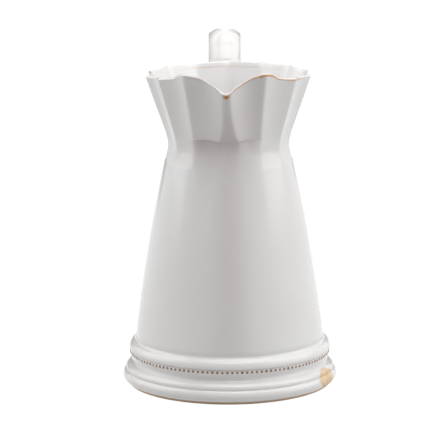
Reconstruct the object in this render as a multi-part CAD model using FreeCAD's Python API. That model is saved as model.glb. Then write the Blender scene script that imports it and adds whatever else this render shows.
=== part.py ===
import FreeCAD, Part
import math
import os

from FreeCAD import Vector

# A white glazed pitcher with a beaded foot, a fluted collar, one pouring lip and one strap handle.
# Millimetres. The origin is the middle of the standing plane, +Z is up, and the pouring lip points to -Y.

# Foot ring and mouldings, from the standing plane upwards. Each projection is how far a line
# of the foot stands out from the foot of the cone-shaped wall.
foot_ring_height = 1.8
foot_ring_projection = 5.2
foot_ring_width = 11.4
foot_ring_chamfer = 0.7
lower_foot_height = 8.4
lower_foot_projection = 9.0
foot_groove_projection = 6.7
upper_foot_height = 5.0
upper_foot_projection = 6.8
cove_height = 8.8
cove_top_projection = 3.4
cove_projection = 1.6
bead_land_projection = 2.2
roll_height = 7.0
roll_projection = 4.7
roll_under_round = 1.2

# Bead string
bead_radius = 1.35
bead_stand = 0.6
bead_gap = 0.67
bead_margin = 0.35

# Body wall and floor
wall_foot_radius = 66.2
seat_depth = 4.2
floor_thickness = 6.0
foot_wall_thickness = 4.5
wall_belly = 1.75
wall_thickness = 5.0
neck_radius = 44.5
neck_height = 158.0

# Collar, pouring lip and rim
waist_inset = 2.5
rim_flare = 15.6
collar_height = 59.5
shoulder_rise = 8.5
shoulder_angle = 30.0
flutes_each_side = 6
flute_depth = 3.4
panel_depth = 5.4
spout_waist_stand = 0.6
spout_reach = 4.8
spout_drop = 4.2
keel_crown_height = 0.3
keel_foot_width = 15.0
keel_lip_width = 7.0
keel_round = 1.0
rim_wall_thickness = 4.6
lip_height = 2.2

# Handle
strap_width = 22.8
strap_thickness = 8.5
strap_edge_thickness = 4.4
strap_inner_crown = 0.9
handle_offset = 2.5
handle_rise = 21.2
handle_seat_length = 15.0
handle_top_length = 33.0
handle_elbow_reach = 10.0
handle_elbow_drop = 75.0
handle_foot_height = 96.0
handle_foot_sink = 2.0
upper_join_length = 15.0
upper_join_turn = 30.0
upper_join_bed = 1.2
upper_join_flare = 1.5
lower_join_length = 18.0
lower_join_flare = 6.0
join_overrun = 4.0

# Heights of the levels of the collar, as shares of the way from the neck to the rim
level_shares = (0.0, 0.1, 0.21, 0.32, 0.45, 0.72, 1.0)
# How far each level has flared from the waist radius to the neck radius (first two) or to the rim radius
pinch_shares = (1.0, 0.38, 0.0, 0.0, 0.0, 0.0, 0.0)
flare_shares = (0.0, 0.0, 0.0, 0.07, 0.24, 0.62, 1.0)
# How deep the flutes are, and how much of the rim's rise and fall shows, at each level
fade_shares = (0.0, 0.12, 0.34, 0.56, 0.72, 0.9, 1.0)
wave_shares = (0.0, 0.0, 0.0, 0.0, 0.08, 0.45, 1.0)
# Height of the rim from its back to its shoulders, at each ridge and each flute's middle
rim_rise_shares = (1.0, 0.42, 0.2, 0.1, 0.05, 0.0, 0.0, 0.0, 0.0, 0.0, 0.0, 0.0, 0.0)
# Where the widest line of each moulding lies, as a share of its height
lower_foot_crown_share = 0.38
upper_foot_crown_share = 0.48
cove_deep_share = 0.32
# The inner skin of the collar keeps these shares of the outer skin's flutes and keel
inner_flute_share = 0.75
inner_keel_share = 0.6

# How much of its shorter run each bend of the strap takes up
strap_bend_share = 0.45

# Heights and radii that follow from the ones above
lower_foot_base = foot_ring_height
upper_foot_base = lower_foot_base + lower_foot_height
cove_base = upper_foot_base + upper_foot_height
roll_base = cove_base + cove_height
wall_foot_height = roll_base + roll_height
floor_height = foot_ring_height + floor_thickness
bead_land_height = 2 * (bead_radius + bead_margin)
bead_land_radius = wall_foot_radius + bead_land_projection
foot_ring_radius = wall_foot_radius + foot_ring_projection
foot_groove_radius = wall_foot_radius + foot_groove_projection
cove_top_radius = wall_foot_radius + cove_top_projection
seat_radius = wall_foot_radius - seat_depth
waist_radius = neck_radius - waist_inset
rim_radius = waist_radius + rim_flare
rim_height = neck_height + collar_height
spout_waist_radius = waist_radius + spout_waist_stand
spout_radius = rim_radius + spout_reach + spout_waist_stand
spout_edge_height = rim_height - spout_drop


def line(start, end):
    return Part.LineSegment(start, end).toShape()


def arc(start, middle, end):
    return Part.Arc(start, middle, end).toShape()


def at(radius, height):
    """A point of a turned profile."""
    return Vector(radius, 0, height)


def turned(edges):
    """A solid turned round the pitcher's axis from a closed profile."""
    face = Part.Face(Part.Wire(edges))
    return face.revolve(Vector(0, 0, 0), Vector(0, 0, 1), 360)


def moulding(base, height, foot_radius, crown_radius, crown_share, top_radius):
    """A ring round the body wall with one arc for its outer face."""
    foot = at(foot_radius, base)
    crown = at(crown_radius, base + height * crown_share)
    top = at(top_radius, base + height)
    inner_top = at(seat_radius, base + height)
    inner_foot = at(seat_radius, base)
    return turned([
        arc(foot, crown, top),
        line(top, inner_top),
        line(inner_top, inner_foot),
        line(inner_foot, foot),
    ])


def upright_arc_middle(crown, end):
    """The middle of the arc that leaves the crown upright and runs inwards to the end."""
    depth = crown.x - end.x
    rise = end.z - crown.z
    radius = (depth ** 2 + rise ** 2) / (2 * depth)
    turn = math.atan2(rise, radius - depth) / 2
    return crown + at(radius * (math.cos(turn) - 1), radius * math.sin(turn))


def foot_ring():
    """The bare clay ring that the pitcher stands on."""
    hole_radius = foot_ring_radius - foot_ring_width
    corners = [
        at(hole_radius, 0),
        at(foot_ring_radius - foot_ring_chamfer, 0),
        at(foot_ring_radius, foot_ring_chamfer),
        at(foot_ring_radius, foot_ring_height),
        at(hole_radius, foot_ring_height),
    ]
    return turned([line(a, b) for a, b in zip(corners, corners[1:] + corners[:1])])


def floor_disc():
    """The floor inside the foot of the wall."""
    return Part.makeCylinder(seat_radius, floor_thickness, Vector(0, 0, foot_ring_height))


def lower_foot_moulding():
    return moulding(lower_foot_base, lower_foot_height, foot_ring_radius,
                    wall_foot_radius + lower_foot_projection, lower_foot_crown_share, foot_groove_radius)


def upper_foot_moulding():
    return moulding(upper_foot_base, upper_foot_height, foot_groove_radius,
                    wall_foot_radius + upper_foot_projection, upper_foot_crown_share, cove_top_radius)


def cove_band():
    """The hollow moulding, with a straight land at its top for the beads."""
    foot = at(cove_top_radius, cove_base)
    deep = at(wall_foot_radius + cove_projection, cove_base + cove_height * cove_deep_share)
    land = at(bead_land_radius, roll_base - bead_land_height)
    top = at(bead_land_radius, roll_base)
    inner_top = at(seat_radius, roll_base)
    inner_foot = at(seat_radius, cove_base)
    return turned([
        arc(foot, deep, land),
        line(land, top),
        line(top, inner_top),
        line(inner_top, inner_foot),
        line(inner_foot, foot),
    ])


def upper_roll():
    """The roll under the cone, with a flat underside, a small round and a long round above it."""
    crown_radius = wall_foot_radius + roll_projection
    under = at(crown_radius - roll_under_round, roll_base)
    crown = at(crown_radius, roll_base + roll_under_round)
    top = at(wall_foot_radius, wall_foot_height)
    inner_top = at(seat_radius, wall_foot_height)
    inner_foot = at(seat_radius, roll_base)
    return turned([
        arc(under, upright_arc_middle(crown, under), crown),
        arc(crown, upright_arc_middle(crown, top), top),
        line(top, inner_top),
        line(inner_top, inner_foot),
        line(inner_foot, under),
    ])


def bead_string():
    """Equal beads on the land of the cove, each cut to sit flush on it."""
    land = Part.makeCylinder(bead_land_radius, bead_land_height, Vector(0, 0, roll_base - bead_land_height))
    circle_radius = bead_land_radius + bead_stand
    ball = Part.makeSphere(bead_radius, Vector(circle_radius, 0, roll_base - bead_land_height / 2))
    bead = ball.cut(land)
    count = math.floor(2 * math.pi * circle_radius / (2 * bead_radius + bead_gap))
    beads = []
    for index in range(count):
        copy = bead.copy()
        copy.rotate(Vector(0, 0, 0), Vector(0, 0, 1), 360 * (index + 0.5) / count)
        beads.append(copy)
    return Part.makeCompound(beads)


def wall_middle():
    """The middle of the cone's outer line, which bellies out a little from the straight."""
    radius = (wall_foot_radius + neck_radius) / 2 + wall_belly
    return at(radius, (wall_foot_height + neck_height) / 2)


def wall_curve():
    return arc(at(wall_foot_radius, wall_foot_height), wall_middle(), at(neck_radius, neck_height))


def wall_radius(height):
    """The cone's outer radius at a height."""
    circle = wall_curve().Curve
    return circle.Center.x + math.sqrt(circle.Radius ** 2 - (height - circle.Center.z) ** 2)


def body_wall():
    """The cone-shaped wall, from the floor up to the neck."""
    neck_inner = at(neck_radius - wall_thickness, neck_height)
    middle_inner = wall_middle() - at(wall_thickness, 0)
    floor_inner = at(seat_radius - foot_wall_thickness, floor_height)
    floor_outer = at(seat_radius, floor_height)
    seat_top = at(seat_radius, wall_foot_height)
    return turned([
        wall_curve(),
        line(at(neck_radius, neck_height), neck_inner),
        arc(neck_inner, middle_inner, floor_inner),
        line(floor_inner, floor_outer),
        line(floor_outer, seat_top),
        line(seat_top, at(wall_foot_radius, wall_foot_height)),
    ])


def polar(radius, angle, height):
    """A point at an angle from the pouring lip, positive towards +X."""
    turn = math.radians(angle)
    return Vector(radius * math.sin(turn), -radius * math.cos(turn), height)


def ridge_radius(level):
    return waist_radius + pinch_shares[level] * waist_inset + flare_shares[level] * rim_flare


def keel_radius(level):
    pinch = pinch_shares[level] * (neck_radius - spout_waist_radius)
    flare = flare_shares[level] * (spout_radius - spout_waist_radius)
    return spout_waist_radius + pinch + flare


def level_height(level, edge_height):
    """Height of a level where the rim above it stands at edge_height."""
    plain = neck_height + level_shares[level] * collar_height
    return plain + wave_shares[level] * (edge_height - rim_height)


def collar_wire(level, inset, flute_share, keel_share):
    """One closed line round the collar: the keel, two spout panels and the flutes between ridges."""
    fade = fade_shares[level] * flute_share
    radius = ridge_radius(level) - inset
    keel = keel_radius(level) - inset
    share_up = level_shares[level]
    half_width = (keel_foot_width + (keel_lip_width - keel_foot_width) * share_up) * keel_share / 2
    keel_edge = math.sqrt(keel ** 2 - half_width ** 2) - fade * keel_round
    shoulder_height = rim_height + shoulder_rise
    edge_height = level_height(level, spout_edge_height)
    panel_height = level_height(level, (spout_edge_height + shoulder_height) / 2)
    crown_height = level_height(level, spout_edge_height - keel_crown_height)
    edge_angle = math.degrees(math.atan2(half_width, keel_edge))
    edge_radius = math.hypot(half_width, keel_edge)

    # Stations from the keel's edge to the back, on the +X side: ridges at even places
    panel_angle = (edge_angle + shoulder_angle) / 2
    panel_radius = (edge_radius + radius) / 2 - fade * panel_depth
    stations = [(edge_radius, edge_angle, edge_height), (panel_radius, panel_angle, panel_height)]
    half_flute = (180 - shoulder_angle) / flutes_each_side / 2
    # The shoulders lean out as they rise above the back of the rim
    lean = rim_flare / collar_height
    for index, share in enumerate(rim_rise_shares):
        height = level_height(level, rim_height + share * shoulder_rise)
        flat_height = level_height(level, rim_height)
        hollow = fade * flute_depth * (index % 2)
        out = radius + (height - flat_height) * lean - hollow
        stations.append((out, shoulder_angle + index * half_flute, height))

    right = [polar(*station) for station in stations]
    left = [Vector(-point.x, point.y, point.z) for point in reversed(right[:-1])]
    crown = Vector(0, -keel, crown_height)
    points = right + left + [crown]
    points.append(points[0])
    edges = [arc(*points[first:first + 3]) for first in range(0, len(points) - 2, 2)]
    return Part.Wire(edges)


def outer_wire(level):
    return collar_wire(level, 0, 1, 1)


def inner_wire(level):
    share_up = level_shares[level]
    inset = wall_thickness + (rim_wall_thickness - wall_thickness) * share_up
    return collar_wire(level, inset, inner_flute_share, inner_keel_share)


def skin(wires):
    """Smooth faces through a row of lines round the collar."""
    return Part.makeLoft(wires, False, False).Faces


def flat_band(outer, inner):
    """Straight faces from each edge of the outer line to its fellow on the inner line."""
    return [Part.makeRuledSurface(a, b) for a, b in zip(outer.Edges, inner.Edges)]


def closed_solid(faces):
    """One solid from faces that meet edge to edge."""
    shell = Part.makeShell(faces)
    shell.sewShape()
    solid = Part.Solid(shell)
    if solid.Volume < 0:
        solid.reverse()
    return solid


def whole_collar():
    """The wall above the neck, all the way round, with its top left flat for the rim."""
    levels = range(len(level_shares))
    outer = [outer_wire(level) for level in levels]
    inner = [inner_wire(level) for level in levels]
    foot = flat_band(outer[0], inner[0])
    top = flat_band(outer[-1], inner[-1])
    return closed_solid(skin(outer) + skin(inner) + foot + top)


def spout_wedge():
    """The sector that takes in the pouring lip, out to the first flute on each side."""
    half_flute = (180 - shoulder_angle) / flutes_each_side / 2
    side = shoulder_angle + half_flute
    reach = 3 * spout_radius
    top = 2 * rim_height
    corners = [Vector(0, 0, 0), polar(reach, side, 0), polar(reach, 0, 0), polar(reach, -side, 0)]
    edges = [line(a, b) for a, b in zip(corners, corners[1:] + corners[:1])]
    return Part.Face(Part.Wire(edges)).extrude(Vector(0, 0, top))


def rim_lip():
    """The rounded lip that closes the top of the collar."""
    last = len(level_shares) - 1
    outer = outer_wire(last)
    inner = inner_wire(last)
    crest = collar_wire(last, rim_wall_thickness / 2, (1 + inner_flute_share) / 2, (1 + inner_keel_share) / 2)
    crest.translate(Vector(0, 0, lip_height))
    return closed_solid(skin([outer, crest, inner]) + flat_band(outer, inner))


def rounded_route(corners):
    """Straight runs joined by tangent arcs, each as large as its runs allow."""
    edges = []
    start = corners[0]
    for before, corner, after in zip(corners, corners[1:], corners[2:]):
        tangent = strap_bend_share * min((before - corner).Length, (after - corner).Length)
        back = (before - corner).normalize()
        ahead = (after - corner).normalize()
        half_turn = (math.pi - back.getAngle(ahead)) / 2
        bend = tangent / math.tan(half_turn)
        inward = (back + ahead).normalize()
        first = corner + back * tangent
        middle = corner + inward * (bend / math.cos(half_turn) - bend)
        last = corner + ahead * tangent
        edges.append(line(start, first))
        edges.append(arc(first, middle, last))
        start = last
    edges.append(line(start, corners[-1]))
    return Part.Wire(edges)


def strap_section(place, along, grow):
    """The strap's outline, square to the way it runs: round edges, and an outer face that is well crowned."""
    across = Vector(1, 0, 0)
    inward = along.cross(across).normalize()
    half_width = strap_width / 2 + grow
    half_thick = strap_thickness / 2 + grow
    edge = strap_edge_thickness / 2 + grow
    shift = half_thick - edge - strap_inner_crown

    def spot(side, depth):
        return place + across * side + inward * depth

    def round_edge(side):
        flat = side * (half_width - edge)
        return [spot(flat, shift - edge), spot(side * half_width, shift), spot(flat, shift + edge)]

    right = round_edge(1)
    left = round_edge(-1)
    return Part.Wire([
        arc(*right),
        arc(right[-1], spot(0, half_thick), left[-1]),
        arc(*reversed(left)),
        arc(left[0], spot(0, -half_thick), right[0]),
    ])


def handle_seat():
    """Where the strap's middle line passes the rim, the way it rises there, and its outward side.

    The strap lies along the back ridge of the collar, on a thin bed of clay, and runs on upwards from it.
    """
    last = len(level_shares) - 1
    rim = Vector(-handle_offset, ridge_radius(last), rim_height)
    below = Vector(-handle_offset, ridge_radius(last - 1), level_height(last - 1, rim_height))
    rise = (rim - below).normalize()
    outward = rise.cross(Vector(1, 0, 0)).normalize()
    return rim + outward * (upper_join_bed + strap_thickness / 2), rise, outward


def handle_corners():
    """The corner points of the strap's middle line, from its end on the collar to its end by the wall."""
    seat, rise, outward = handle_seat()
    top = rim_height + handle_rise - strap_thickness / 2
    over = seat + rise * ((top - seat.z) / rise.z)
    back = over + Vector(0, handle_top_length, 0)
    elbow = back + Vector(0, handle_elbow_reach, -handle_elbow_drop)
    foot = Vector(-handle_offset, wall_radius(handle_foot_height) - handle_foot_sink, handle_foot_height)
    fall = (foot - elbow).normalize()
    return [seat - rise * handle_seat_length, over, back, elbow, foot - fall * lower_join_length]


def handle_strap():
    corners = handle_corners()
    pipe = Part.BRepOffsetAPI.MakePipeShell(rounded_route(corners))
    pipe.setBiNormalMode(Vector(1, 0, 0))
    pipe.add(strap_section(corners[0], (corners[1] - corners[0]).normalize(), 0))
    pipe.build()
    pipe.makeSolid()
    return pipe.shape()


def outermost(shape):
    """The solid that reaches furthest out at the back of the pitcher."""
    return max(shape.Solids, key=lambda piece: piece.BoundBox.YMax)


def handle_upper_join(collar, strap):
    """The bed under the strap's end and the clay that tapers down from it, cut to the collar and the strap."""
    seat, rise, outward = handle_seat()
    start = seat - rise * handle_seat_length
    turn = math.radians(upper_join_turn)
    down = rise * -math.cos(turn) - outward * math.sin(turn)
    near = strap_section(start, rise * -1, 0)
    far = strap_section(start + down * (upper_join_length + join_overrun), down, upper_join_flare)
    taper = Part.makeLoft([near, far], True, True)
    side = Vector((strap_width - strap_edge_thickness) / 2, 0, 0)
    depth = outward * -(strap_thickness / 2 + upper_join_bed + flute_depth)
    corners = [start - side, start + side, start + side + depth, start - side + depth]
    edges = [line(a, b) for a, b in zip(corners, corners[1:] + corners[:1])]
    bed = Part.Face(Part.Wire(edges)).extrude(rise * (handle_seat_length - lip_height))
    return outermost(taper.fuse(bed).cut(collar).cut(strap))


def handle_lower_join(wall):
    """The clay that flares from the strap's lower end on to the cone-shaped wall."""
    corners = handle_corners()
    fall = (corners[-1] - corners[-2]).normalize()
    near = strap_section(corners[-1], fall, 0)
    far = strap_section(corners[-1] + fall * (lower_join_length + join_overrun), fall, lower_join_flare)
    return outermost(Part.makeLoft([near, far], True, True).cut(wall))


def main():
    collar = whole_collar()
    wedge = spout_wedge()
    wall = body_wall()
    strap = handle_strap()
    nodes = {
        "foot_ring": foot_ring(),
        "floor_disc": floor_disc(),
        "lower_foot_moulding": lower_foot_moulding(),
        "upper_foot_moulding": upper_foot_moulding(),
        "cove_band": cove_band(),
        "bead_string": bead_string(),
        "upper_roll": upper_roll(),
        "body_wall": wall,
        "fluted_collar": collar.cut(wedge),
        "pouring_spout": collar.common(wedge),
        "rim_lip": rim_lip(),
        "handle_strap": strap,
        "handle_upper_join": handle_upper_join(collar, strap),
        "handle_lower_join": handle_lower_join(wall),
    }
    os.makedirs("parts", exist_ok=True)
    for name, shape in nodes.items():
        shape.exportStep("parts/" + name + ".step")
        box = shape.BoundBox
        print(name, len(shape.Solids), "solids", "valid" if shape.isValid() else "NOT VALID",
              "volume %.1f" % shape.Volume, "z %.2f to %.2f" % (box.ZMin, box.ZMax),
              "y %.2f to %.2f" % (box.YMin, box.YMax))


main()
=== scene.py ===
"""White glazed pitcher with a beaded foot: the finished surfaces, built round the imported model."""

import math

import bmesh
import bpy
from bpy.props import FloatProperty, FloatVectorProperty, IntProperty, PointerProperty
from mathutils import Matrix, Vector


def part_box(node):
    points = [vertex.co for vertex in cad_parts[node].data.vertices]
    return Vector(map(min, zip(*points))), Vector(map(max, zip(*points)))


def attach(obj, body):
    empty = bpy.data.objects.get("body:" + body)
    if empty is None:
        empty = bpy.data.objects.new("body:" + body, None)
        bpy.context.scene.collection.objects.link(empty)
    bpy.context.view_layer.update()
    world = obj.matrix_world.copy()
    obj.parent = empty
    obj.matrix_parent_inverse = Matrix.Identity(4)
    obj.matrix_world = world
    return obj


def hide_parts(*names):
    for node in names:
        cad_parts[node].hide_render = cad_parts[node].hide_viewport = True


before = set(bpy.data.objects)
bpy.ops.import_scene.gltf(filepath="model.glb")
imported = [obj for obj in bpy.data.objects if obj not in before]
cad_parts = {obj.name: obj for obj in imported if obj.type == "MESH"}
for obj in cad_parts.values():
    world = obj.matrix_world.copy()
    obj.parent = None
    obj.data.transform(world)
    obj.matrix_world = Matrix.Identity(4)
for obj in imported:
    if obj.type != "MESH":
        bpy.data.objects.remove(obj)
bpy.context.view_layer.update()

bl_info = {
    "name": "Glazed pitcher",
    "version": (1, 0, 0),
    "blender": (4, 5, 0),
    "location": "3D View > Sidebar > Pitcher",
    "description": "Builds a white glazed pitcher with a beaded foot, a fluted collar and a strap handle",
    "category": "Object",
}

MM = 0.001
ROOT = "root"

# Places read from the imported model
FOOT_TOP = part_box("foot_ring")[1].z
GROOVE_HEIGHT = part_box("lower_foot_moulding")[1].z
COVE_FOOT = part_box("cove_band")[0].z
BEAD_LOW, BEAD_HIGH = (corner.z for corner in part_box("bead_string"))
ROLL_FOOT, ROLL_TOP = (corner.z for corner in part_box("upper_roll"))
FLOOR_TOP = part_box("floor_disc")[1].z
SEAT_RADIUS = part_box("floor_disc")[1].y
WALL_FOOT_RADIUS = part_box("body_wall")[1].y
NECK_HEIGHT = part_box("body_wall")[1].z
RIM_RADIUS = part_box("fluted_collar")[1].y
SPOUT_RADIUS = -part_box("pouring_spout")[0].y
SHOULDER_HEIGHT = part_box("pouring_spout")[1].z
STRAP_LEFT, STRAP_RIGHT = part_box("handle_strap")[0].x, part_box("handle_strap")[1].x
STRAP_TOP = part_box("handle_strap")[1].z
STRAP_HALF_WIDTH = (STRAP_RIGHT - STRAP_LEFT) / 2

# Levels of the collar, as shares of the way from the neck to the rim
LEVELS = (0, 0.1, 0.21, 0.32, 0.45, 0.72, 1)
# What each level has: shares of the whole first, then angles to both sides of the lip and how far
# hands turned the keel and the shoulders, in degrees
LEVEL_TABLES = {
    "pinch": (1, 0.38, 0, 0, 0, 0, 0),
    "flare": (0, 0, 0, 0.07, 0.24, 0.62, 1),
    "flute": (0.06, 0.16, 0.28, 0.4, 0.55, 0.84, 1),
    "panel": (0, 0, 0.1, 0.22, 0.4, 0.76, 1),
    "wave": (0, 0, 0, 0, 0.08, 0.45, 1),
    "keel_angle": (10, 10, 10, 9, 5.4, 2.8, 2.2),
    "shoulder_angle": (32, 32, 32, 32, 31, 29.2, 28.4),
    "keel_turn": (1, 1, 1, 0.9, 0.2, -0.8, -1.3),
    "shoulder_turn": (-1.2, -1.2, -1.4, -1.4, -1.7, -2.3, -2.7),
}
# Where the panels end in a ledge, and where the lip's inner side begins to drop, on the same way
LEDGE_RISE = 0.343
LIP_RISE = 0.8
# How strongly the grey brown lies in a band up the front, from the roll (below 0) to the rim: painted shade
# down the body's front, and on the keel partly clay through thin glaze and partly painted shade
VEIL_AND_SHADE_PLACES = (-2.1, 0, 0.2, 0.33, 0.5, 0.75, 1)
VEIL_AND_SHADE_SHARES = (0.26, 0.32, 0.42, 0.64, 0.54, 0.44, 0.32)
# Angles from the pouring lip, in degrees, and the rim's height there, as shares of the shoulders' rise
RIM_ANGLES = (0, 2.4, 5, 7.4, 11, 17.5, 24.7, 30, 36, 43, 55, 67, 80, 105, 180)
RIM_RISE_SHARES = (-0.52, -0.43, -0.17, 0.03, 0.23, 0.6, 0.87, 1, 0.85, 0.47, 0.24, 0.12, 0.05, 0, 0)
SHOULDER_ANGLE = 30
FLUTE_ANGLE = (180 - SHOULDER_ANGLE) / 6
# Faces round a ring of the foot
RING_STEPS = 360
# What every colour setting shares
COLOR = {"subtype": "COLOR", "size": 3, "min": 0, "max": 1}


class PitcherSizes(bpy.types.PropertyGroup):
    """Sizes of the finished surfaces."""
    neck_radius: FloatProperty(
        name="Neck radius", description="Outer radius where the collar starts", default=44.8 * MM,
        unit="LENGTH")
    wall_belly: FloatProperty(
        name="Wall belly", description="How far the cone swells beyond a straight line", default=1.75 * MM,
        unit="LENGTH")
    wall_thickness: FloatProperty(
        name="Wall thickness", description="Thickness of the wall at the neck", default=5 * MM,
        unit="LENGTH")
    rim_thickness: FloatProperty(
        name="Rim thickness", description="Thickness of the wall at the rim", default=4.6 * MM,
        unit="LENGTH")
    floor_wall: FloatProperty(
        name="Foot wall", description="Thickness of the wall inside the mouldings", default=4.5 * MM,
        unit="LENGTH")
    waist_inset: FloatProperty(
        name="Waist inset", description="How much narrower the waist is than the neck", default=2.2 * MM,
        unit="LENGTH")
    spout_waist_stand: FloatProperty(
        name="Keel at the waist", description="How far the keel stands out at the waist", default=0.6 * MM,
        unit="LENGTH")
    shoulder_rise: FloatProperty(
        name="Shoulder rise", description="Height of the lip's shoulders over the rim's back",
        default=8.5 * MM, unit="LENGTH")
    flute_depth: FloatProperty(
        name="Flute depth", description="Depth of a flute at the rim", default=3.4 * MM, unit="LENGTH")
    panel_depth: FloatProperty(
        name="Panel depth", description="Depth of the hollow on each side of the keel", default=5.4 * MM,
        unit="LENGTH")
    ridge_softness: FloatProperty(
        name="Ridge softness", description="How far glaze rounds off the outer ridges", default=0.05,
        min=0.01, max=0.5)
    inner_softness: FloatProperty(
        name="Inner softness", description="How far glaze rounds off the inner ridges", default=0.16,
        min=0.01, max=0.5)
    inner_depth: FloatProperty(
        name="Inner depth", description="Depth of the inner flutes as a share of the outer", default=0.5,
        min=0, max=1)
    ledge_depth: FloatProperty(
        name="Ledge depth", description="How far the panels stand over the waist below them",
        default=0.8 * MM, unit="LENGTH")
    lip_height: FloatProperty(
        name="Lip height", description="Height of the rounded lip", default=2.2 * MM, unit="LENGTH")
    lip_inner_drop: FloatProperty(
        name="Lip inner drop", description="How much lower the lip ends on the inside", default=2.3 * MM,
        unit="LENGTH")
    left_sag: FloatProperty(
        name="Left sag", description="How much lower the left shoulder stands", default=0.8 * MM,
        unit="LENGTH")
    hand_wobble: FloatProperty(
        name="Hand wobble", description="Unevenness left by the hand", default=0.22 * MM, unit="LENGTH")
    bead_radius: FloatProperty(
        name="Bead radius", description="Radius of one bead", default=1.35 * MM, unit="LENGTH")
    bead_count: IntProperty(
        name="Beads", description="Number of beads in the string", default=128, min=12)
    strap_thickness: FloatProperty(
        name="Strap thickness", description="Thickness of the handle in its middle", default=8.5 * MM,
        unit="LENGTH")
    strap_edge: FloatProperty(
        name="Strap edge", description="Thickness of the handle at its round edges", default=4.4 * MM,
        unit="LENGTH")
    around_steps: IntProperty(
        name="Steps round", description="Faces round the collar and wall", default=600, min=60)


class PitcherFinish(bpy.types.PropertyGroup):
    """Colours of the glaze and the clay."""
    glaze: FloatVectorProperty(
        name="Glaze", description="Milk white of the glaze", default=(0.805, 0.785, 0.775), **COLOR)
    glaze_thick: FloatVectorProperty(
        name="Pooled glaze", description="Colour where glaze lies thick",
        default=(0.83, 0.83, 0.825), **COLOR)
    # Grey brown used for clay through thin glaze, for the painted shade on the front, panels, ledge and
    # strap edges, and for the iron specks.
    veil_and_shade: FloatVectorProperty(
        name="Thin glaze", description="Grey brown of clay seen through thin glaze",
        default=(0.42, 0.335, 0.325), **COLOR)
    tan: FloatVectorProperty(
        name="Glaze break", description="Tan line where glaze runs off an edge",
        default=(0.6, 0.33, 0.13), **COLOR)
    brown: FloatVectorProperty(
        name="Burnt break", description="Brown where the glaze is gone",
        default=(0.16, 0.07, 0.035), **COLOR)
    clay: FloatVectorProperty(
        name="Bare clay", description="Unglazed earthenware", default=(0.8, 0.6, 0.42), **COLOR)
    peach: FloatVectorProperty(
        name="Chipped clay", description="Pale clay in the bare patch on the foot",
        default=(0.8, 0.62, 0.43), **COLOR)
    gloss: FloatProperty(
        name="Gloss roughness", description="Roughness of the glaze", default=0.14, min=0, max=1)


class StudioSettings(bpy.types.PropertyGroup):
    """Camera and light."""
    camera_place: FloatVectorProperty(
        name="Camera", description="Where the camera stands", size=3, subtype="TRANSLATION", unit="LENGTH",
        default=(0, -2.3, 0.59))
    camera_aim: FloatVectorProperty(
        name="Aim", description="What the camera looks at", size=3, subtype="TRANSLATION", unit="LENGTH",
        default=(-0.0098, 0, 0.1186))
    camera_lens: FloatProperty(
        name="Lens", description="Focal length in millimetres", default=280.8)
    camera_roll: FloatProperty(
        name="Roll", description="How far the camera is tipped, in degrees", default=-0.35)
    side_power: FloatProperty(
        name="Side light", description="Power of each side light in watts", default=7.0)
    top_power: FloatProperty(
        name="Top light", description="Power of the top light in watts", default=5.35)
    front_power: FloatProperty(
        name="Front light", description="Power of the high front light in watts", default=1.25)
    room_light: FloatProperty(
        name="Room light", description="Strength of the light from all round", default=0.33)


def sizes():
    return bpy.context.scene.pitcher_sizes


def finish():
    return bpy.context.scene.pitcher_finish


def studio():
    return bpy.context.scene.pitcher_studio


def smooth_table(places, values, place):
    """A smooth curve through a short table, flat outside it and with no overshoot."""
    if place <= places[0]:
        return values[0]
    if place >= places[-1]:
        return values[-1]
    index = 0
    while places[index + 1] < place:
        index += 1

    def slope(point):
        if point in (0, len(places) - 1):
            near = min(max(point, 1), len(places) - 1)
            return (values[near] - values[near - 1]) / (places[near] - places[near - 1])
        before = (values[point] - values[point - 1]) / (places[point] - places[point - 1])
        after = (values[point + 1] - values[point]) / (places[point + 1] - places[point])
        if before * after <= 0:
            return 0.0
        return 2 * before * after / (before + after)

    width = places[index + 1] - places[index]
    share = (place - places[index]) / width
    start = values[index] * (1 + 2 * share) + slope(index) * width * share
    end = values[index + 1] * (3 - 2 * share) - slope(index + 1) * width * (1 - share)
    return start * (1 - share) ** 2 + end * share ** 2


def arc_points(start, middle, end, count):
    """Points of the circle through three points (radius, height), the first and last included."""
    ax, ay = start
    bx, by = middle
    cx, cy = end
    twice = 2 * (ax * (by - cy) + bx * (cy - ay) + cx * (ay - by))
    a, b, c = ax * ax + ay * ay, bx * bx + by * by, cx * cx + cy * cy
    ox = (a * (by - cy) + b * (cy - ay) + c * (ay - by)) / twice
    oy = (a * (cx - bx) + b * (ax - cx) + c * (bx - ax)) / twice
    radius = math.hypot(ax - ox, ay - oy)
    first = math.atan2(ay - oy, ax - ox)
    sweep_middle = (math.atan2(by - oy, bx - ox) - first) % math.tau
    sweep = (math.atan2(cy - oy, cx - ox) - first) % math.tau
    if sweep_middle > sweep:
        sweep -= math.tau
    angles = [first + sweep * step / (count - 1) for step in range(count)]
    return [(ox + radius * math.cos(angle), oy + radius * math.sin(angle)) for angle in angles]


def bump_at(place, centre, width):
    """1 at the centre, falling to 0 over about one width."""
    return math.exp(-((place - centre) / width) ** 2)


def inside(turn, limit, edge):
    """1 within an angle to both sides of the lip and 0 beyond it, with a soft edge."""
    return 1 / (1 + math.exp((abs(turn) - limit) / edge))


def clamped(share):
    return min(1.0, max(0.0, share))


def eased(share):
    """A share from 0 to 1 that starts and ends softly."""
    return share * share * (3 - 2 * share)


def mesh_object(name, bm):
    """An object in the scene that takes over the bmesh."""
    mesh = bpy.data.meshes.new(name)
    bm.to_mesh(mesh)
    bm.free()
    made = bpy.data.objects.new(name, mesh)
    bpy.context.scene.collection.objects.link(made)
    return made


def new_piece(name, bm, material, slot_name, *nodes):
    """Turns a bmesh into a finished piece that rides on the body and stands for the named nodes."""
    piece = mesh_object(name, bm)
    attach(piece, ROOT)
    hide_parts(*nodes)
    piece.data.materials.append(material)


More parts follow.
